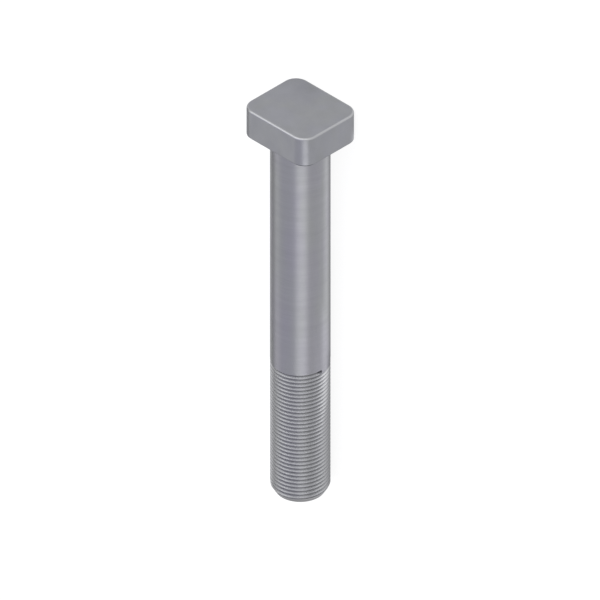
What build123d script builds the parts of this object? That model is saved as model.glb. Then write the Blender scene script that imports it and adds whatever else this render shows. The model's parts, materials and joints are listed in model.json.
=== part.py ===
from build123d import *

import os
from math import asin, atan2, cos, hypot, radians, sin, tan

# A T-head bolt: one piece of steel, with a forged rectangular head and a turned shank.
#
# It is modelled upright about the Z axis, with the bearing face under the head at Z = 0, the head above
# it and the shank below. It is then laid down as it comes to rest on a flat surface, on one long side of
# its head and the edge of its point, with the head towards +X, the head's long side along Y, and the
# origin on that surface, at the middle of the part.
#
# The screw thread is M20 x 1.5. It is modelled as a plain cylinder over its crests.

# ---- Driving dimensions, in mm ----

# Head: a flat block with rounded upright corners.
head_length = 30.0  # long side
head_width = 26.0  # short side
head_height = 11.0
head_corner_radius = 5.0
head_top_rounding = 0.8
head_underside_rounding = 0.3

# Shank: the neck's fillet, a plain grip and the thread, down to the chamfered point.
neck_fillet = 0.8
shank_diameter = 20.0
grip_length = 90.0  # from the bearing face to the shoulder
thread_length = 52.0  # includes the shoulder and the point
crest_drop = 0.03  # how far the thread's crests lie below the grip's surface
shoulder_slope = 3.0  # degrees between the axis and the short cone that leads down to the crests
point_depth = 1.55  # from the crests in to the rim of the end face
point_slope = 30.0  # degrees between the axis and the point's cone

# ---- Worked out from the dimensions above ----

shank_radius = shank_diameter / 2
crest_radius = shank_radius - crest_drop
shoulder_length = crest_drop / tan(radians(shoulder_slope))
point_radius = crest_radius - point_depth
point_length = point_depth / tan(radians(point_slope))
length_under_head = grip_length + thread_length


def make_head():
    """The head, standing on the bearing face at Z = 0."""
    with BuildPart() as head:
        with BuildSketch():
            RectangleRounded(head_length, head_width, head_corner_radius)
        extrude(amount=head_height)
        fillet(head.edges().group_by(Axis.Z)[-1], head_top_rounding)
        fillet(head.edges().group_by(Axis.Z)[0], head_underside_rounding)
    return head.part


def make_shank():
    """Everything below the bearing face, as one profile turned about the Z axis."""
    with BuildPart() as shank:
        with BuildSketch(Plane.XZ):
            with BuildLine():
                Polyline(
                    (0, 0),
                    (shank_radius, 0),
                    (shank_radius, -grip_length),
                    (crest_radius, -grip_length - shoulder_length),
                    (crest_radius, point_length - length_under_head),
                    (point_radius, -length_under_head),
                    (0, -length_under_head),
                    close=True,
                )
            make_face()
        revolve(axis=Axis.Z)
    return shank.part


def make_bolt():
    """Head and shank as one upright solid, with the neck's fillet between them."""
    with BuildPart() as bolt:
        add(make_head())
        add(make_shank())
        neck = [
            edge
            for edge in bolt.edges().filter_by(GeomType.CIRCLE)
            if abs(edge.arc_center.Z) < 1e-6 and abs(edge.radius - shank_radius) < 1e-6
        ]
        fillet(neck, neck_fillet)
    return bolt.part


def resting_tilt():
    """The angle by which the axis rises towards the head, in radians.

    The surface touches two places: the last full crest, which is a point in this side view, and the
    rounding of the head's lower edge, which is a circle.
    """
    drop = head_width / 2 - head_underside_rounding - crest_radius
    run = head_underside_rounding + length_under_head - point_length
    return atan2(drop, run) + asin(head_underside_rounding / hypot(drop, run))


def lay_down(upright):
    """Lays the upright bolt on Z = 0, with the origin at the middle of the part."""
    tilt = resting_tilt()
    along_axis = Plane((0, 0, 0), x_dir=(0, 1, 0), z_dir=(cos(tilt), 0, sin(tilt)))
    lying = along_axis * upright
    box = lying.bounding_box()
    return Pos(-box.center().X, -box.center().Y, -box.min.Z) * lying


t_head_bolt = lay_down(make_bolt())

os.makedirs("parts", exist_ok=True)
export_step(t_head_bolt, "parts/t_head_bolt.step")
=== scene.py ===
# %% [markdown]
# # A T-head bolt, from its CAD frame to a finished model
#
# This lesson builds the bolt that a person sees over the plain CAD bolt. The real one is a single piece
# of steel: a forged rectangular head, a plain turned shank, and a fine screw thread that ends in a
# chamfered point. The CAD model gives its size and place, so that is what is loaded first. Everything
# is in metres, and the bolt lies on a floor at Z = 0 with its head towards +X.

# %% Load the frame
import json
import math
import bmesh
import bpy
from mathutils import Matrix, Vector


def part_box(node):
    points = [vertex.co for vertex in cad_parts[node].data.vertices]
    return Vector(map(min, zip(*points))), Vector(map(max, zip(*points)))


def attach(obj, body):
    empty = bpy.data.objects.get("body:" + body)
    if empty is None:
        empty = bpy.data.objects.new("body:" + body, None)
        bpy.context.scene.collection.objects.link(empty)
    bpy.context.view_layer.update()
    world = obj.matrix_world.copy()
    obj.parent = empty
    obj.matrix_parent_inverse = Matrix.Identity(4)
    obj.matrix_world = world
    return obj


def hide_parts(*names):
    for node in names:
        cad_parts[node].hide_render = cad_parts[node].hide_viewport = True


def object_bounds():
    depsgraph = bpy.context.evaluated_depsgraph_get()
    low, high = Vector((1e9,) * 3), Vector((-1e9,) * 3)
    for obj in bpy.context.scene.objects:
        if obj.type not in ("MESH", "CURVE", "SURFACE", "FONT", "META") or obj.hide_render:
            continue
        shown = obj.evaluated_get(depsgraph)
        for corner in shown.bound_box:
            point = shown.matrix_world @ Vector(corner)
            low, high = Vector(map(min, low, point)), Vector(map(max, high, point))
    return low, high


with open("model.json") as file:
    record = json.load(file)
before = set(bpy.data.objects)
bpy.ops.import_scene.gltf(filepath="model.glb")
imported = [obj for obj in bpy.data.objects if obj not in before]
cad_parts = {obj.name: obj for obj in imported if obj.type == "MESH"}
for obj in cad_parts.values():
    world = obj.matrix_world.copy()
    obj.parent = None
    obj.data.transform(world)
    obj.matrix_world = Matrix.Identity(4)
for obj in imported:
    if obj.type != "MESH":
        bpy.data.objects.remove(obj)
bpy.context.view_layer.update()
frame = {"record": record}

# %% [markdown]
# The CAD record lists the bolt's mounts: the flat faces and the two round walls that other parts touch.
# The bolt's own axis, its own frame and its main sizes are all worked out from them. In that frame the
# bolt stands upright: Z runs from the point to the head, Z = 0 is the bearing face under the head, X runs
# along the head's long side and Y along its short side.

# %% The bolt's own frame
MM = 0.001
mounts = {mount["name"]: mount for mount in frame["record"]["mounts"]}


def mount_place(name):
    return Vector(mounts[name]["pos_m"])


def mount_axis(name):
    return Vector(mounts[name]["axis"]).normalized()


def mount_size(name, key):
    return mounts[name]["dims"][key] * MM


along_z = -mount_axis("grip")
along_y = mount_axis("head_flat_upper")
along_x = along_y.cross(along_z)
grip_to_face = mount_place("bearing_face") - mount_place("grip")
bearing_centre = mount_place("grip") + along_z * grip_to_face.dot(along_z)
bolt_to_world = Matrix((along_x, along_y, along_z)).transposed().to_4x4()
bolt_to_world.translation = bearing_centre
print("the axis rises towards the head by", round(math.degrees(math.asin(along_z.z)), 3), "degrees")


# %% Sizes from the record
def height_of(name):
    return (mount_place(name) - bearing_centre).dot(along_z)


cad_box_low, cad_box_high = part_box("t_head_bolt")
head_length = cad_box_high.y - cad_box_low.y
head_width = (mount_place("head_flat_upper") - mount_place("head_flat_lower")).dot(along_y)
head_height = 2 * height_of("head_flat_upper")
shank_radius = mount_size("grip", "r_mm")
crest_radius = mount_size("thread", "r_mm")
neck_fillet = -(height_of("grip") + mount_size("grip", "length_mm") / 2)
grip_end = height_of("grip") - mount_size("grip", "length_mm") / 2
shoulder_length = grip_end - (height_of("thread") + mount_size("thread", "length_mm") / 2)
point_start = height_of("thread") - mount_size("thread", "length_mm") / 2
print("head in mm:", [round(1000 * size, 3) for size in (head_length, head_width, head_height)])
print("shank and crest radius in mm:", round(1000 * shank_radius, 3), round(1000 * crest_radius, 3))
print("grip ends and point starts, in mm:", round(1000 * grip_end, 3), round(1000 * point_start, 3))

# %% [markdown]
# The record leaves out the head's roundings, the point's cut and the thread's pitch, so they are written
# here. 1.5 mm is the fine pitch of an M20 thread.

# %% Sizes that the record leaves out
head_corner_radius = 5.0 * MM
head_top_rounding = 0.8 * MM
head_underside_rounding = 0.3 * MM
point_depth = 1.55 * MM
point_slope = math.radians(30)
point_end = point_start - point_depth / math.tan(point_slope)
pitch = 1.5 * MM
columns = 96  # facets round the shank
merge_distance = 0.001 * MM
print("length under the head in mm:", round(-1000 * point_end, 3))

# %% [markdown]
# Editing by script needs a few helpers. An operator works on whatever is selected, so each step first
# drops the old selection and then picks what it needs by place, as a person would with the mouse.


# %% Selecting and editing
def start_afresh():
    if bpy.context.mode != "OBJECT":
        bpy.ops.object.mode_set(mode="OBJECT")
    bpy.ops.object.select_all(action="DESELECT")


def edit(piece, kind="VERT"):
    start_afresh()
    bpy.context.view_layer.objects.active = piece
    piece.select_set(True)
    bpy.ops.object.mode_set(mode="EDIT")
    bpy.ops.mesh.select_mode(type=kind)
    bpy.ops.mesh.select_all(action="DESELECT")


def pick(piece, kind, wanted):
    """Selects the vertices, edges or faces that pass a test, and nothing else."""
    bpy.ops.mesh.select_mode(type=kind)
    bpy.ops.mesh.select_all(action="DESELECT")
    mesh = bmesh.from_edit_mesh(piece.data)
    items = {"VERT": mesh.verts, "EDGE": mesh.edges, "FACE": mesh.faces}[kind]
    count = 0
    for item in items:
        if wanted(item):
            item.select_set(True)
            count += 1
    mesh.select_flush_mode()
    bmesh.update_edit_mesh(piece.data)
    return count


def apply_modifiers(piece):
    start_afresh()
    bpy.context.view_layer.objects.active = piece
    piece.select_set(True)
    for modifier in list(piece.modifiers):
        bpy.ops.object.modifier_apply(modifier=modifier.name)


def near(value, goal, slack=1e-6):
    return abs(value - goal) < slack


def radius_of(point):
    return math.hypot(point.x, point.y)


# %% [markdown]
# ## The head
#
# On the real bolt the head is upset in a die: a flat block whose four upright corners are well rounded,
# with a soft top edge and a much sharper lower edge. It could be swept from a drawn outline, but a cube
# with three bevels is the same shape and shows where each rounding comes from. The big corners go
# first, because the small roundings then run round them.

# %% The block and its roundings
start_afresh()
bpy.ops.mesh.primitive_cube_add(
    size=1, location=(0, 0, head_height / 2), scale=(head_length, head_width, head_height)
)
head = bpy.context.object
head.name = "head_block"
bpy.ops.object.transform_apply(location=True, rotation=False, scale=True)


def is_upright(edge):
    ends = [vertex.co for vertex in edge.verts]
    return near(ends[0].x, ends[1].x) and near(ends[0].y, ends[1].y)


def is_level(edge, height):
    return all(near(vertex.co.z, height) for vertex in edge.verts)


def round_edges(piece, wanted, radius, segments):
    found = pick(piece, "EDGE", wanted)
    bpy.ops.mesh.bevel(
        offset=radius, segments=segments, profile=0.5, affect="EDGES", clamp_overlap=False
    )
    return found


edit(head, "EDGE")
corners = round_edges(head, is_upright, head_corner_radius, segments=12)
top_rim = round_edges(head, lambda edge: is_level(edge, head_height), head_top_rounding, segments=6)
low_rim = round_edges(head, lambda edge: is_level(edge, 0), head_underside_rounding, segments=3)
start_afresh()
print("edges rounded:", corners, top_rim, low_rim, "- faces in the head:", len(head.data.polygons))

# %% [markdown]
# ## The thread
#
# The thread is M20 x 1.5, right-hand: one groove that winds down the shank, 1.5 mm a turn, with flanks
# at 60 degrees to each other and a rounded root. A stack of rings would look alike from far away, but
# it has no start and no run-out. So one pitch of the thread's outline is drawn, one vertex extruded
# after another, and a Screw modifier winds it. Turning by a negative angle while going down gives a
# right-hand thread.

# %% The groove's sizes
flank_angle = math.radians(60)
crest_flat = pitch / 8  # the standard's
groove_width = pitch - crest_flat
groove_depth = 0.613 * pitch  # the standard's, for a thread on a bolt
root_segments = 4
sharp_depth = groove_width / 2 * math.tan(flank_angle)
root_radius = sharp_depth - groove_depth  # because 1 / sin(30) - 1 is 1


def groove_outline():
    """(depth below the crest, distance down the axis) of each point, from the upper crest edge."""
    points = [(0.0, 0.0)]
    for step in range(root_segments + 1):
        turn = flank_angle * (2 * step / root_segments - 1)
        depth = groove_depth - root_radius * (1 - math.cos(turn))
        points.append((depth, groove_width / 2 + root_radius * math.sin(turn)))
    return points + [(0.0, groove_width), (0.0, pitch)]


print("points in one pitch:", len(groove_outline()), "- root radius in mm:", round(1000 * root_radius, 3))


# %% Draw one pitch
def draw_chain(name, points):
    """A chain of edges in the XZ plane. A plane merged to one vertex is where it starts."""
    start_afresh()
    bpy.ops.mesh.primitive_plane_add(size=MM, location=(0, 0, 0))
    chain = bpy.context.object
    chain.name = name
    bpy.ops.object.mode_set(mode="EDIT")
    bpy.ops.mesh.select_mode(type="VERT")
    bpy.ops.mesh.select_all(action="SELECT")
    bpy.ops.mesh.merge(type="CENTER")
    bpy.ops.transform.translate(value=(points[0][0], 0, points[0][1]))
    for (x0, z0), (x1, z1) in zip(points, points[1:]):
        bpy.ops.mesh.extrude_region_move(TRANSFORM_OT_translate={"value": (x1 - x0, 0, z1 - z0)})
    return chain


lead_turns = 2  # wound above the thread's start, and filled in later
spare_turns = 2  # wound below the point's end, and cut off later
start_reach = 0.3 * MM  # how far the groove's first edge reaches up past the grip's end
thread_start = grip_end + start_reach
coil_top = thread_start + lead_turns * pitch
turns = lead_turns + spare_turns + math.ceil((thread_start - point_end) / pitch)
thread = draw_chain(
    "threaded_shank",
    [(-(crest_radius - depth), coil_top - down) for depth, down in groove_outline()],
)
drawn_edges = len(bmesh.from_edit_mesh(thread.data).edges)
print("edges in one pitch:", drawn_edges, "- turns to wind:", turns)

# %% Wind it
winding = thread.modifiers.new("Winding", "SCREW")
winding.axis = "Z"
winding.angle = -2 * math.pi
winding.screw_offset = -pitch
winding.iterations = turns
winding.steps = winding.render_steps = columns
winding.use_merge_vertices = False
apply_modifiers(thread)
edit(thread)
bpy.ops.mesh.select_all(action="SELECT")
bpy.ops.mesh.remove_doubles(threshold=merge_distance)
start_afresh()
print("faces in the coil:", len(thread.data.polygons))

# %% [markdown]
# The groove starts all at once, at the side of the shank that lies along -X in the bolt's own frame. To
# get that, the turns above the start are scaled out until they are flush with the crests, one depth of
# the outline at a time. What is left of them is then a plain cylinder.


# %% Fill the turns above the start
def turns_down(point):
    """How many turns below the top of the coil a point of the groove lies."""
    share = ((math.pi - math.atan2(point.y, point.x)) / (2 * math.pi) + 1e-6) % 1.0
    return math.floor((coil_top - share * pitch - point.z) / pitch + 1e-4) + share


def is_lead(vertex, radius):
    """True for a point of the groove that has this radius and lies above the thread's start."""
    return near(radius_of(vertex.co), radius, 2e-7) and turns_down(vertex.co) < lead_turns + 0.001


edit(thread)
groove_radii = {round(crest_radius - depth, 7) for depth, down in groove_outline() if depth > 0}
for groove_radius in sorted(groove_radii):
    found = pick(thread, "VERT", lambda vertex: is_lead(vertex, groove_radius))
    growth = crest_radius / groove_radius
    bpy.ops.transform.resize(value=(growth, growth, 1), center_override=(0, 0, 0))
    print("points moved out from radius", round(1000 * groove_radius, 3), "mm:", found)

# %% [markdown]
# The coil is then trimmed flat: bisected where the grip ends, with the top left open, and bisected again
# at the point's end, which is closed with a face. The open ring at the top grows into the rest of the
# shank by extruding it ring by ring: over the shoulder, up the plain grip and round the neck's fillet,
# until it lies flat in the plane of the head's bearing face.


# %% Trim the coil
def cut_flat(height, keep_below, fill):
    bpy.ops.mesh.select_all(action="SELECT")
    bpy.ops.mesh.bisect(
        plane_co=(0, 0, height), plane_no=(0, 0, 1), use_fill=fill,
        clear_outer=keep_below, clear_inner=not keep_below, threshold=1e-7,
    )


ring_gap = 0.2 * MM  # how far the open ring lies above the groove's first edge
ring_height = thread_start + ring_gap
cut_flat(ring_height, keep_below=True, fill=False)
cut_flat(point_end, keep_below=False, fill=True)
ring_size = pick(thread, "EDGE", lambda edge: is_level(edge, ring_height))
print("edges in the open ring:", ring_size)

# %% Grow the grip
fillet_steps = 8
rings = [(shank_radius, ring_height + shoulder_length), (shank_radius, -neck_fillet)]
for step in range(1, fillet_steps + 1):
    turn = math.pi / 2 * step / fillet_steps
    ring_radius = shank_radius + neck_fillet * (1 - math.cos(turn))
    rings.append((ring_radius, -neck_fillet * (1 - math.sin(turn))))
last_radius, last_height = crest_radius, ring_height
for radius, height in rings:
    bpy.ops.mesh.extrude_region_move(TRANSFORM_OT_translate={"value": (0, 0, height - last_height)})
    growth = radius / last_radius
    bpy.ops.transform.resize(value=(growth, growth, 1), center_override=(0, 0, height))
    last_radius, last_height = radius, height
start_afresh()
print("rings up to the head:", len(rings), "- radius of the last in mm:", round(1000 * last_radius, 3))

# %% [markdown]
# The forging and the turning are one piece of steel, so head and shank become one mesh. A boolean could
# join them, but the neck's last ring and the bearing face lie in one plane, where booleans are shaky. So
# the bearing face is deleted, the two meshes are joined, and the flat gap between the head's outline and
# the neck's ring is filled.

# %% Join the head and the shank
edit(head)
lowest_faces = pick(head, "FACE", lambda face: face.calc_center_median().z < 0.01 * MM)
print("bearing faces deleted:", lowest_faces)
bpy.ops.mesh.delete(type="FACE")
start_afresh()
head.select_set(True)
thread.select_set(True)
bpy.context.view_layer.objects.active = thread
bpy.ops.object.join()
bolt = thread
bolt.name = bolt.data.name = "threaded_t_bolt"
edit(bolt)
rims = pick(bolt, "EDGE", lambda edge: edge.is_boundary and is_level(edge, 0))
bpy.ops.mesh.fill(use_beauty=True)
bpy.ops.mesh.select_all(action="SELECT")
bpy.ops.mesh.normals_make_consistent(inside=False)
start_afresh()
print("edges round the bearing face:", rims)

# %% [markdown]
# The point is a cone of 30 degrees to the axis. On a lathe it is one cut with a slanted tool, and it is
# made the same way here: a triangle is spun into a ring, and the ring is taken away from the shank, so
# that the groove runs out over the cone.

# %% Cut the point
overrun = 1 * MM
slant = math.tan(point_slope)
tool_low = (crest_radius - point_depth - overrun * slant, point_end - overrun)
tool_top = (crest_radius + overrun, point_start + overrun / slant)
tool = draw_chain("point_tool", [tool_low, tool_top, (tool_top[0], tool_low[1]), tool_low])
bpy.ops.mesh.select_all(action="SELECT")
bpy.ops.mesh.remove_doubles(threshold=merge_distance)
bpy.ops.mesh.select_all(action="SELECT")
bpy.ops.mesh.spin(steps=columns, angle=2 * math.pi, center=(0, 0, 0), axis=(0, 0, 1))
bpy.ops.mesh.select_all(action="SELECT")
bpy.ops.mesh.remove_doubles(threshold=merge_distance)
bpy.ops.mesh.normals_make_consistent(inside=False)
start_afresh()


def cut_away(piece, other):
    """Cuts one object from another with a boolean, applies it and deletes the cutter."""
    boolean = piece.modifiers.new("Cut", "BOOLEAN")
    boolean.operation = "DIFFERENCE"
    boolean.solver = "EXACT"
    boolean.object = other
    apply_modifiers(piece)
    bpy.data.objects.remove(other, do_unlink=True)


print("tool faces:", len(tool.data.polygons))
cut_away(bolt, tool)


def check_closed(piece):
    mesh = bmesh.new()
    mesh.from_mesh(piece.data)
    open_edges = sum(1 for edge in mesh.edges if len(edge.link_faces) != 2)
    triangles = sum(len(face.verts) - 2 for face in mesh.faces)
    volume = mesh.calc_volume()
    mesh.free()
    return {"open edges": open_edges, "triangles": triangles, "volume in mm3": round(volume * 1e9, 1)}


print(check_closed(bolt))

# %% [markdown]
# The piece is still upright. It is turned and moved into the place where the CAD bolt lies, and the turn
# is applied to its mesh, so that the object itself stays at the world's origin. The long curved faces
# are shaded smooth, the corners under 30 degrees are too, and a weighted normal modifier keeps the flats
# flat right up to their roundings.

# %% Lay it down and shade it
smooth_below = math.radians(30)
start_afresh()
bolt.matrix_world = bolt_to_world
bpy.context.view_layer.objects.active = bolt
bolt.select_set(True)
bpy.ops.object.transform_apply(location=True, rotation=True, scale=True)
bpy.ops.object.shade_smooth_by_angle(angle=smooth_below)
flat_keeper = bolt.modifiers.new("Flat faces", "WEIGHTED_NORMAL")
flat_keeper.keep_sharp = True
apply_modifiers(bolt)
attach(bolt, "root")
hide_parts("t_head_bolt")
made_low, made_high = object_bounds()
print("visible box in mm:", [round(1000 * side, 3) for side in made_high - made_low])

# %% [markdown]
# ## Materials
#
# The bolt is bare steel, but its three stretches were made in three ways, and each way leaves its own
# surface. The forged head is finely grained, the grip has turning marks that run round it, and the
# thread's flanks shine more than its root. So there are three materials, built from a few shared node
# groups. All of them read one kind of coordinates: a Mapping node of type Texture undoes the bolt's
# tilt, so that Z runs along the bolt, and a scale turns metres into millimetres.


# %% Helpers for nodes
def add_node(tree, kind, **settings):
    node = tree.nodes.new(kind)
    for key, value in settings.items():
        setattr(node, key, value)
    return node


def feed(tree, socket, value):
    """Links an output to a socket, or sets the socket to a plain number or colour."""
    if isinstance(value, bpy.types.NodeSocket):
        tree.links.new(value, socket)
    else:
        socket.default_value = value


def maths(tree, operation, *values, clamp=False):
    node = add_node(tree, "ShaderNodeMath", operation=operation, use_clamp=clamp)
    for socket, value in zip(node.inputs, values):
        feed(tree, socket, value)
    return node.outputs[0]


def smooth_step(tree, value, start, stop, low=0.0, high=1.0):
    """Goes softly from low, where the value is at its start, to high, where it is at its stop."""
    node = add_node(tree, "ShaderNodeMapRange", interpolation_type="SMOOTHSTEP")
    for name, number in (("From Min", start), ("From Max", stop), ("To Min", low), ("To Max", high)):
        feed(tree, node.inputs[name], number)
    feed(tree, node.inputs["Value"], value)
    return node.outputs["Result"]


def between(tree, share, low, high):
    node = add_node(tree, "ShaderNodeMapRange")
    feed(tree, node.inputs["To Min"], low)
    feed(tree, node.inputs["To Max"], high)
    feed(tree, node.inputs["Value"], share)
    return node.outputs["Result"]


def mix_colours(tree, share, first, second):
    node = add_node(tree, "ShaderNodeMix", data_type="RGBA")
    feed(tree, node.inputs[0], share)
    feed(tree, node.inputs[6], first)
    feed(tree, node.inputs[7], second)
    return node.outputs[2]


# %% [markdown]
# A node group is a box of nodes with named sockets. An effect that several materials use is built once
# as a group, and each material places the same box with its own values. The groups here take a place on
# the bolt, in millimetres, and put out masks and heights from 0 to 1.


# %% Helpers for groups and patterns
def new_group(name, inputs, outputs):
    """A node group with vector or number inputs and number outputs. Returns its tree and both ends."""
    group = bpy.data.node_groups.new(name, "ShaderNodeTree")
    for title, start in inputs.items():
        kind = "NodeSocketVector" if start is None else "NodeSocketFloat"
        socket = group.interface.new_socket(title, in_out="INPUT", socket_type=kind)
        if start is not None:
            socket.default_value = start
    for title in outputs:
        group.interface.new_socket(title, in_out="OUTPUT", socket_type="NodeSocketFloat")
    return group, add_node(group, "NodeGroupInput").outputs, add_node(group, "NodeGroupOutput").inputs


def use_group(tree, group, **values):
    node = add_node(tree, "ShaderNodeGroup", node_tree=group)
    for title, value in values.items():
        feed(tree, node.inputs[title.replace("_", " ")], value)
    return node.outputs


def scaled(tree, vector, factors):
    node = add_node(tree, "ShaderNodeVectorMath", operation="MULTIPLY")
    feed(tree, node.inputs[0], vector)
    feed(tree, node.inputs[1], factors)
    return node.outputs[0]


def noise(tree, vector, size, detail=2.0, roughness=0.5):
    """Soft noise from 0 to 1 whose blotches are about so many millimetres across."""
    node = add_node(tree, "ShaderNodeTexNoise", noise_dimensions="3D")
    feed(tree, node.inputs["Vector"], vector)
    feed(tree, node.inputs["Scale"], 1 / size)
    feed(tree, node.inputs["Detail"], detail)
    feed(tree, node.inputs["Roughness"], roughness)
    return node.outputs[0]


def two_layers(tree, fine, wide, fine_share):
    fine_part = maths(tree, "MULTIPLY", fine, fine_share)
    wide_part = maths(tree, "MULTIPLY", wide, 1 - fine_share)
    return maths(tree, "ADD", fine_part, wide_part)


# %% [markdown]
# A turning mark is the path of the tool's tip: a hairline ring round the bolt. Noise that is squeezed
# hard along Z and stretched across it gives such rings, each a little stronger or weaker than the next,
# with no pattern that repeats. A second, coarser noise dulls them in places, as handling does.

# %% Node group: turning marks
hairline_width = 0.12  # mm
band_width = 2.5  # mm
round_hairlines = (0.02, 0.02, 1)
round_bands = (0.05, 0.05, 1)

turning_marks, start, end = new_group("Turning marks", {"Place": None}, ["Shade", "Height"])
squeezed = scaled(turning_marks, start["Place"], round_hairlines)
hairlines = noise(turning_marks, squeezed, hairline_width, detail=3.0)
bands = noise(turning_marks, scaled(turning_marks, start["Place"], round_bands), band_width)
feed(turning_marks, end["Height"], hairlines)
feed(turning_marks, end["Shade"], two_layers(turning_marks, hairlines, bands, fine_share=0.6))
print("nodes for the turning marks:", len(turning_marks.nodes))

# %% [markdown]
# Forged and blasted steel has no direction. Its grain is a fine noise, and over it lie wide, faint clouds
# where the scale came off unevenly. A second group draws clouds of tint: the steel's grey leans a little
# towards blue there on the head, and towards violet on the shank.

# %% Node group: forged grain
grain_size = 0.25  # mm
cloud_size = 6.0  # mm

forged_grain, start, end = new_group("Forged grain", {"Place": None}, ["Shade", "Height"])
grains = noise(forged_grain, start["Place"], grain_size, detail=4.0, roughness=0.6)
clouds = noise(forged_grain, start["Place"], cloud_size)
feed(forged_grain, end["Height"], grains)
feed(forged_grain, end["Shade"], two_layers(forged_grain, grains, clouds, fine_share=0.5))
print("nodes for the forged grain:", len(forged_grain.nodes))

# %% Node group: cloudy tint
blotch_size = 7.0  # mm
long_blotches = (1, 1, 0.25)  # four times as long along the bolt

cloudy_tint, start, end = new_group("Cloudy tint", {"Place": None}, ["Mask"])
drawn_out = scaled(cloudy_tint, start["Place"], long_blotches)
blotches = noise(cloudy_tint, drawn_out, blotch_size, detail=3.0)
feed(cloudy_tint, end["Mask"], smooth_step(cloudy_tint, blotches, 0.35, 0.65))
print("nodes for the cloudy tint:", len(cloudy_tint.nodes))

# %% [markdown]
# The head's top edge is lightened to a bright line, partly the polish of rubbing and partly a painted
# highlight. Its lower edge gets a thin dark line of painted shade, strongest round the corners.
# Pointiness would find edges too, but it depends on the mesh. A distance is exact: how deep a point lies
# inside the rounded rectangle, and how deep below the top. Only on the rounding itself are both smaller
# than its radius. For the lower edge the same group gets a place that is mirrored in Z.

# %% Node group: edge mask
block_sizes = {"Half Length": 15.0, "Half Width": 13.0, "Corner": 5.0, "Height": 11.0, "Rounding": 0.8}
edge_mask, start, end = new_group(
    "Edge mask", {"Place": None} | block_sizes, ["Mask", "Corner Mask"]
)
axes = add_node(edge_mask, "ShaderNodeSeparateXYZ")
feed(edge_mask, axes.inputs[0], start["Place"])
past = []
for axis, half in (("X", "Half Length"), ("Y", "Half Width")):
    side = maths(edge_mask, "SUBTRACT", maths(edge_mask, "ABSOLUTE", axes.outputs[axis]), start[half])
    past.append(maths(edge_mask, "ADD", side, start["Corner"]))
outside = [maths(edge_mask, "MAXIMUM", value, 0.0) for value in past]
squares = [maths(edge_mask, "MULTIPLY", value, value) for value in outside]
reach = maths(edge_mask, "SQRT", maths(edge_mask, "ADD", squares[0], squares[1]))
inside = maths(edge_mask, "MINIMUM", maths(edge_mask, "MAXIMUM", past[0], past[1]), 0.0)
side_depth = maths(edge_mask, "SUBTRACT", maths(edge_mask, "ADD", reach, inside), start["Corner"])
top_depth = maths(edge_mask, "SUBTRACT", axes.outputs["Z"], start["Height"])
deepest = maths(edge_mask, "MINIMUM", side_depth, top_depth)
share = maths(edge_mask, "DIVIDE", deepest, start["Rounding"])
feed(edge_mask, end["Mask"], smooth_step(edge_mask, share, -0.95, -0.45))
# The corner mask makes the lower edge's painted shade strongest round the corners.
nearer = maths(edge_mask, "MINIMUM", outside[0], outside[1])
in_corner = maths(edge_mask, "DIVIDE", nearer, start["Corner"])
feed(edge_mask, end["Corner Mask"], smooth_step(edge_mask, in_corner, 0.0, 0.45, low=0.3))
print("nodes for the edge mask:", len(edge_mask.nodes))

# %% [markdown]
# In the thread nearly everything follows from the distance to the axis. The crests keep the grey of the
# turned bar, the flanks are brightened with painted light, and the root is darkened with painted shade.

# %% Node group: thread zones
thread_zones, start, end = new_group(
    "Thread zones", {"Place": None, "Crest": 10.0, "Depth": 0.9}, ["Flank", "Root"]
)
flat_place = scaled(thread_zones, start["Place"], (1.0, 1.0, 0.0))
measure = add_node(thread_zones, "ShaderNodeVectorMath", operation="LENGTH")
feed(thread_zones, measure.inputs[0], flat_place)
depth = maths(thread_zones, "SUBTRACT", start["Crest"], measure.outputs["Value"])
share = maths(thread_zones, "DIVIDE", depth, start["Depth"])
feed(thread_zones, end["Flank"], smooth_step(thread_zones, share, 0.02, 0.12))
feed(thread_zones, end["Root"], smooth_step(thread_zones, share, 0.55, 0.95))
print("nodes for the thread zones:", len(thread_zones.nodes))

# %% [markdown]
# The three materials have the same ground: a metal whose grey leans to blue, then its marks as small
# changes of colour, roughness and height. The marks' height goes through a Bump node, with a distance of
# a few micrometres, so they only break up the reflections.

# %% The steels' colours
steel_grey = (0.299, 0.304, 0.315, 1)
head_clouds = (0.299, 0.303, 0.327, 1)
shank_clouds = (0.298, 0.296, 0.326, 1)
# The top rim's colour: partly rubbed wear, partly a painted highlight.
rim_wear_and_highlight = (0.45, 0.455, 0.465, 1)
# The lower edge's colour: painted shade.
low_edge_painted_shade = (0.09, 0.09, 0.10, 1)
low_edge_height = 0.55  # mm
# The flanks' colour: painted light.
flank_painted_light = (0.49, 0.495, 0.505, 1)
# The root's colour: painted shade.
root_painted_shade = (0.26, 0.26, 0.27, 1)
# The pocket's colour: painted shade.
pocket_painted_shade = (0.10, 0.10, 0.11, 1)
edge_tint = (0.75, 0.75, 0.75, 1)
print("steel grey:", steel_grey[:3])
print("its clouds on head and shank:", head_clouds[:3], shank_clouds[:3])


# %% The ground of all three steels
mark_height = 0.003 * MM
roughness_change = 0.03  # either way, over the marks
shade_change = 0.04


def new_material(name):
    material = bpy.data.materials.new(name)
    material.use_nodes = True
    material.node_tree.nodes.clear()
    return material, material.node_tree


def bolt_place(tree):
    """Object coordinates in the bolt's own frame, in millimetres."""
    source = add_node(tree, "ShaderNodeTexCoord").outputs["Object"]
    mapping = add_node(tree, "ShaderNodeMapping", vector_type="TEXTURE")
    feed(tree, mapping.inputs["Vector"], source)
    mapping.inputs["Location"].default_value = bearing_centre
    mapping.inputs["Rotation"].default_value = bolt_to_world.to_euler()
    mapping.inputs["Scale"].default_value = (MM, MM, MM)
    return mapping.outputs[0]


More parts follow.
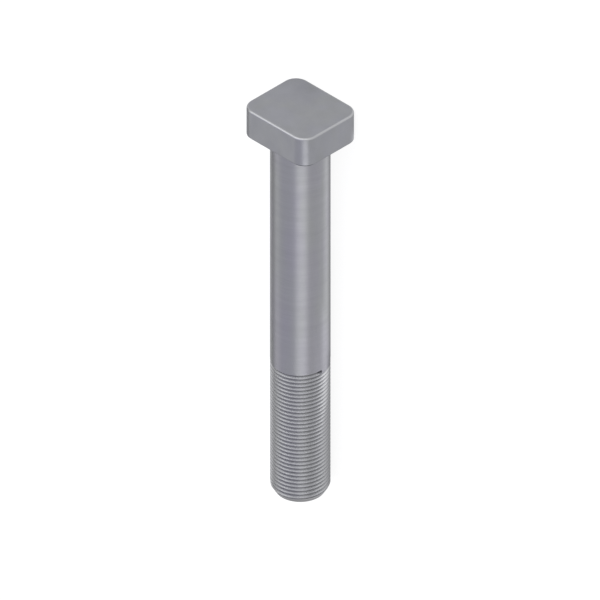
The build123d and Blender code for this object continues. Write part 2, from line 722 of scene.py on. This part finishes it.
def steel_shader(tree, place, marks, tint, roughness):
    """A metal shader with its marks. Returns it and the plain colour, for rubbed edges and painted light
    and shade to be laid over.
    """
    output = add_node(tree, "ShaderNodeOutputMaterial")
    shader = add_node(tree, "ShaderNodeBsdfPrincipled")
    shader.inputs["Metallic"].default_value = 1.0
    shader.inputs["Specular Tint"].default_value = edge_tint
    feed(tree, output.inputs["Surface"], shader.outputs[0])
    drawn = use_group(tree, marks, Place=place)
    share = smooth_step(tree, drawn["Shade"], 0.3, 0.7)
    shade = between(tree, share, 1 - shade_change, 1 + shade_change)
    tinted = use_group(tree, cloudy_tint, Place=place)["Mask"]
    plain = scaled(tree, mix_colours(tree, tinted, steel_grey, tint), shade)
    dull = between(tree, share, roughness + roughness_change, roughness - roughness_change)
    feed(tree, shader.inputs["Roughness"], dull)
    bump = add_node(tree, "ShaderNodeBump")
    bump.inputs["Strength"].default_value = 0.5
    bump.inputs["Distance"].default_value = mark_height
    feed(tree, bump.inputs["Height"], drawn["Height"])
    feed(tree, shader.inputs["Normal"], bump.outputs[0])
    return shader, plain


print("the marks are", round(1000 * mark_height / MM), "micrometres high")

# %% Forged head
forged, tree = new_material("Forged steel head")
place = bolt_place(tree)
shader, plain = steel_shader(tree, place, forged_grain, head_clouds, roughness=0.37)
outline = {
    "Half_Length": head_length / MM / 2,
    "Half_Width": head_width / MM / 2,
    "Corner": head_corner_radius / MM,
}
top = {"Height": head_height / MM, "Rounding": head_top_rounding / MM}
bottom = {"Height": 0.0, "Rounding": low_edge_height}
upside_down = scaled(tree, place, (1, 1, -1))
# The top rim: partly rubbed wear, partly a painted highlight.
rim_wear_and_highlight_mask = use_group(tree, edge_mask, Place=place, **top, **outline)["Mask"]
# The lower edge: a thin line of painted shade, strongest round the corners.
low_edge = use_group(tree, edge_mask, Place=upside_down, **bottom, **outline)
painted_low_edge_shade = maths(tree, "MULTIPLY", low_edge["Mask"], low_edge["Corner Mask"])
rim_worn_and_highlit = mix_colours(tree, rim_wear_and_highlight_mask, plain, rim_wear_and_highlight)
feed(tree, shader.inputs["Base Color"], mix_colours(tree, painted_low_edge_shade, rim_worn_and_highlit, low_edge_painted_shade))
print("nodes in the head's steel:", len(tree.nodes))

# %% Turned shank
turned, tree = new_material("Turned steel shank")
place = bolt_place(tree)
shader, plain = steel_shader(tree, place, turning_marks, shank_clouds, roughness=0.35)
feed(tree, shader.inputs["Base Color"], plain)
print("nodes in the shank's steel:", len(tree.nodes))

# %% [markdown]
# The thread's steel lays painted light on the flanks and painted shade in the root over the plain grey.
# Where the groove starts, a small pocket is darkened with painted shade. It is found by its distance to
# one point: half a groove deep, half a groove below the thread's start, and half a facet round from the
# groove's first edge.

# %% Cut thread
cut, tree = new_material("Cut steel thread")
place = bolt_place(tree)
shader, plain = steel_shader(tree, place, turning_marks, shank_clouds, roughness=0.30)
groove_sizes = {"Crest": crest_radius / MM, "Depth": groove_depth / MM}
zones = use_group(tree, thread_zones, Place=place, **groove_sizes)
# Painted light on the groove's flanks.
bright = mix_colours(tree, zones["Flank"], plain, flank_painted_light)
# Painted shade in the groove's root.
threaded = mix_colours(tree, zones["Root"], bright, root_painted_shade)
pocket_x = (groove_depth / 2 - crest_radius) / MM
pocket_y = math.pi * crest_radius / columns / MM
pocket_z = (thread_start - groove_width / 2) / MM
pocket_radius = 0.75  # mm
pocket_softness = 0.15  # mm
# A spot of painted shade where the groove starts.
away = add_node(tree, "ShaderNodeVectorMath", operation="DISTANCE")
feed(tree, away.inputs[0], place)
feed(tree, away.inputs[1], (pocket_x, pocket_y, pocket_z))
pocket_edge = (pocket_radius + pocket_softness, pocket_radius - pocket_softness)
pocket = smooth_step(tree, away.outputs["Value"], *pocket_edge)
feed(tree, shader.inputs["Base Color"], mix_colours(tree, pocket, threaded, pocket_painted_shade))
print("pocket in mm:", round(pocket_x, 2), round(pocket_y, 2), round(pocket_z, 2))
print("nodes in the thread's steel:", len(tree.nodes))

# %% [markdown]
# A face of the mesh names its material by a number. Each face is given the one for its height along the
# bolt: from the bearing face up it is the head's, down to the ring over the thread the shank's, and below
# that the thread's.

# %% Hand out the materials
bolt.data.materials.clear()
for material in (forged, turned, cut):
    bolt.data.materials.append(material)
world_to_bolt = bolt_to_world.inverted()
counts = [0, 0, 0]
for face in bolt.data.polygons:
    height = (world_to_bolt @ face.center).z
    face.material_index = 0 if height > -1e-6 else 1 if height > ring_height else 2
    counts[face.material_index] += 1
print("faces of head, shank and thread:", counts)

# %% [markdown]
# ## Floor, light and camera
#
# The camera has no perspective, as is usual for the catalogue view of a part. It looks along the diagonal
# of the bolt's own frame, from the head's side, and it is turned so that the bolt stands upright in its
# view although it lies on the floor.

# %% The camera
to_camera_bolt = Vector((-1, 1, 1)).normalized()
right_bolt = Vector((-1, -1, 0)).normalized()
up_bolt = to_camera_bolt.cross(right_bolt)
view_width = 0.19778
aim_below_head = 66.4 * MM
aim_sideways = 0.08 * MM
camera_distance = 0.6


def bolt_direction(direction):
    return (bolt_to_world.to_3x3() @ Vector(direction)).normalized()


camera_right, camera_up, camera_back = map(bolt_direction, (right_bolt, up_bolt, to_camera_bolt))
aim = bolt_to_world @ Vector((0, 0, -aim_below_head)) - camera_right * aim_sideways
camera_data = bpy.data.cameras.new("Camera")
camera_data.type = "ORTHO"
camera_data.ortho_scale = view_width
camera = bpy.data.objects.new("Camera", camera_data)
bpy.context.scene.collection.objects.link(camera)
camera.matrix_world = Matrix((camera_right, camera_up, camera_back)).transposed().to_4x4()
camera.location = aim + camera_back * camera_distance
bpy.context.scene.camera = camera
print("camera looks along", [round(value, 3) for value in -camera_back])

# %% [markdown]
# The floor is white paper. Most of its brightness is a glow that only the camera and mirrored rays meet:
# the steel reflects it, but it lights nothing else. The rest comes from the lamps, and that is what the
# bolt's shadow takes away. Steel shows whatever lies round it, so in a studio white and grey cards are laid
# beside it. Here they are soft rectangles of the floor whose glow is changed for mirrored rays alone: the
# bright ones draw the light line down the bolt's right side, and the dim ones quiet the steel elsewhere.

# %% Telling rays apart
def ray_mask(tree, *kinds):
    """1 for the kinds of rays that are named and 0 for the others."""
    rays = add_node(tree, "ShaderNodeLightPath").outputs
    mask = rays[kinds[0]]
    for kind in kinds[1:]:
        mask = maths(tree, "ADD", mask, rays[kind], clamp=True)
    return mask


# %% The cards on the floor
cards = {  # name: centre, half size and softness of the edge in mm, change of the glow
    # The bright cards are painted reflections, seen only in the steel.
    "strip beside the grip": ((17, -13), (50, 3), 2.5, 0.60),
    "strip beside the thread": ((-38, -18.5), (30, 2.5), 2, 0.45),
    "patch beside the thread": ((-78, -45), (40, 17), 6, 0.15),
    # The dim cards are painted shade, seen only in the steel's reflections.
    "shade under the grip": ((24, 0), (50, 8), 2, -0.35),
    "shade under the thread": ((-52, 0), (27, 11), 3, -0.40),
    "dim side": ((0, -1030), (2000, 1000), 14, -0.145),
    "shade at the head's foot": ((79, 110), (5, 105), 5, -0.14),
}


def soft_rectangle(tree, axes, centre, half_size, softness):
    """1 inside a rectangle of the floor and 0 outside it, with soft edges. All sizes are in mm."""
    mask = 1.0
    for axis, middle, half in zip("XY", centre, half_size):
        away = maths(tree, "ABSOLUTE", maths(tree, "SUBTRACT", axes[axis], middle * MM))
        edge = smooth_step(tree, away, (half + softness) * MM, (half - softness) * MM)
        mask = maths(tree, "MULTIPLY", mask, edge)
    return mask


for title, (centre, half_size, softness, change) in cards.items():
    print(title, "- middle at", centre, "mm, change of the glow", change)

# %% The floor
floor_size = 6  # metres
floor_tone = 0.2
seen_glow = 0.88
mirrored_glow = 0.855

start_afresh()
bpy.ops.mesh.primitive_plane_add(size=floor_size, location=(0, 0, 0))
floor = bpy.context.object
floor.name = "floor"
paper, tree = new_material("White paper")
output = add_node(tree, "ShaderNodeOutputMaterial")
diffuse = add_node(tree, "ShaderNodeBsdfDiffuse")
diffuse.inputs["Color"].default_value = (floor_tone, floor_tone, floor_tone, 1)
glow = add_node(tree, "ShaderNodeEmission")
axes = add_node(tree, "ShaderNodeSeparateXYZ")
feed(tree, axes.inputs[0], add_node(tree, "ShaderNodeTexCoord").outputs["Object"])
mirrored = mirrored_glow
for centre, half_size, softness, change in cards.values():
    card = soft_rectangle(tree, axes.outputs, centre, half_size, softness)
    mirrored = maths(tree, "ADD", mirrored, maths(tree, "MULTIPLY", card, change))
seen = maths(tree, "MULTIPLY", ray_mask(tree, "Is Camera Ray", "Is Transmission Ray"), seen_glow)
mirrored = maths(tree, "MULTIPLY", ray_mask(tree, "Is Glossy Ray"), mirrored)
feed(tree, glow.inputs["Strength"], maths(tree, "ADD", seen, mirrored))
both = add_node(tree, "ShaderNodeAddShader")
feed(tree, both.inputs[0], diffuse.outputs[0])
feed(tree, both.inputs[1], glow.outputs[0])
feed(tree, output.inputs["Surface"], both.outputs[0])
floor.data.materials.append(paper)
print("glow that the camera sees and steel mirrors:", seen_glow, mirrored_glow)

# %% [markdown]
# The studio is a white room with one unlit side, towards +Y and low down. A round bar needs such a dark
# side: it draws the thin dark line along its edge, without which pale steel would melt into white paper.
# The wall beyond the head is brighter than the rest, and the thread's flanks and the head's front rim
# mirror it. The ceiling leans to violet, which gives the grip its cool band left of the middle. The
# camera itself sees plain white wherever it looks past the floor.

# %% The room
room_light = 0.85
dark_side_light = 0.22
far_wall_gain = 0.7  # on top of the room's own light
white = (1, 1, 1, 1)
ceiling_violet = (0.965, 0.955, 1.07, 1)
room = bpy.data.worlds.new("Studio")
bpy.context.scene.world = room
room.use_nodes = True
tree = room.node_tree
tree.nodes.clear()
output = add_node(tree, "ShaderNodeOutputWorld")
background = add_node(tree, "ShaderNodeBackground")
axes = add_node(tree, "ShaderNodeSeparateXYZ")
feed(tree, axes.inputs[0], add_node(tree, "ShaderNodeTexCoord").outputs["Generated"])
towards_side = maths(tree, "SUBTRACT", axes.outputs["Y"], axes.outputs["Z"])
room_tone = smooth_step(tree, towards_side, 0.35, 0.85, low=room_light, high=dark_side_light)
past_head = smooth_step(tree, axes.outputs["X"], 0.2, 0.7, high=far_wall_gain)
off_side = smooth_step(tree, axes.outputs["Y"], 0.65, 0.25)
far_wall = maths(tree, "MULTIPLY", past_head, off_side)
room_tone = maths(tree, "MULTIPLY", room_tone, maths(tree, "ADD", far_wall, 1.0))
by_camera = ray_mask(tree, "Is Camera Ray")
lift = maths(tree, "MULTIPLY", by_camera, maths(tree, "SUBTRACT", 1.0, room_tone))
feed(tree, background.inputs["Strength"], maths(tree, "ADD", room_tone, lift))
overhead = smooth_step(tree, axes.outputs["Z"], 0.6, 0.75)
violet = mix_colours(tree, overhead, white, ceiling_violet)
feed(tree, background.inputs["Color"], mix_colours(tree, by_camera, violet, white))
feed(tree, output.inputs["Surface"], background.outputs[0])
far_wall_light = room_light * (1 + far_wall_gain)
print("room, its dark side and its far wall:", room_light, dark_side_light, round(far_wall_light, 3))

# %% [markdown]
# Three softboxes stand round the bolt. Each one is placed where a certain surface mirrors it: the key
# in the grip's front, the fill in its left side, and the back light in the rounding of the head's rim.

# %% The lamps
lamp_distance = 2.0  # metres


def softbox(name, towards, size, radiance):
    """A square lamp that lies in a direction from the bolt and faces it."""
    lamp_data = bpy.data.lights.new(name, "AREA")
    lamp_data.shape = "SQUARE"
    lamp_data.size = size
    lamp_data.energy = radiance * math.pi * size * size
    lamp = bpy.data.objects.new(name, lamp_data)
    bpy.context.scene.collection.objects.link(lamp)
    direction = Vector(towards).normalized()
    lamp.location = direction * lamp_distance
    lamp.rotation_mode = "QUATERNION"
    lamp.rotation_quaternion = direction.to_track_quat("Z", "Y")
    print(name, "softbox in watts:", round(lamp_data.energy, 2))


softbox("Key", towards=(-0.577, -0.635, 0.512), size=1.15, radiance=0.86)
softbox("Back", towards=(0.58, 0.5, 0.64), size=1.4, radiance=0.75)
softbox("Fill", towards=(-0.577, 0.677, 0.457), size=0.7, radiance=0.4)

# %% [markdown]
# Last comes the colours' plain view.

# %% Finish
bpy.context.scene.view_settings.view_transform = "Standard"
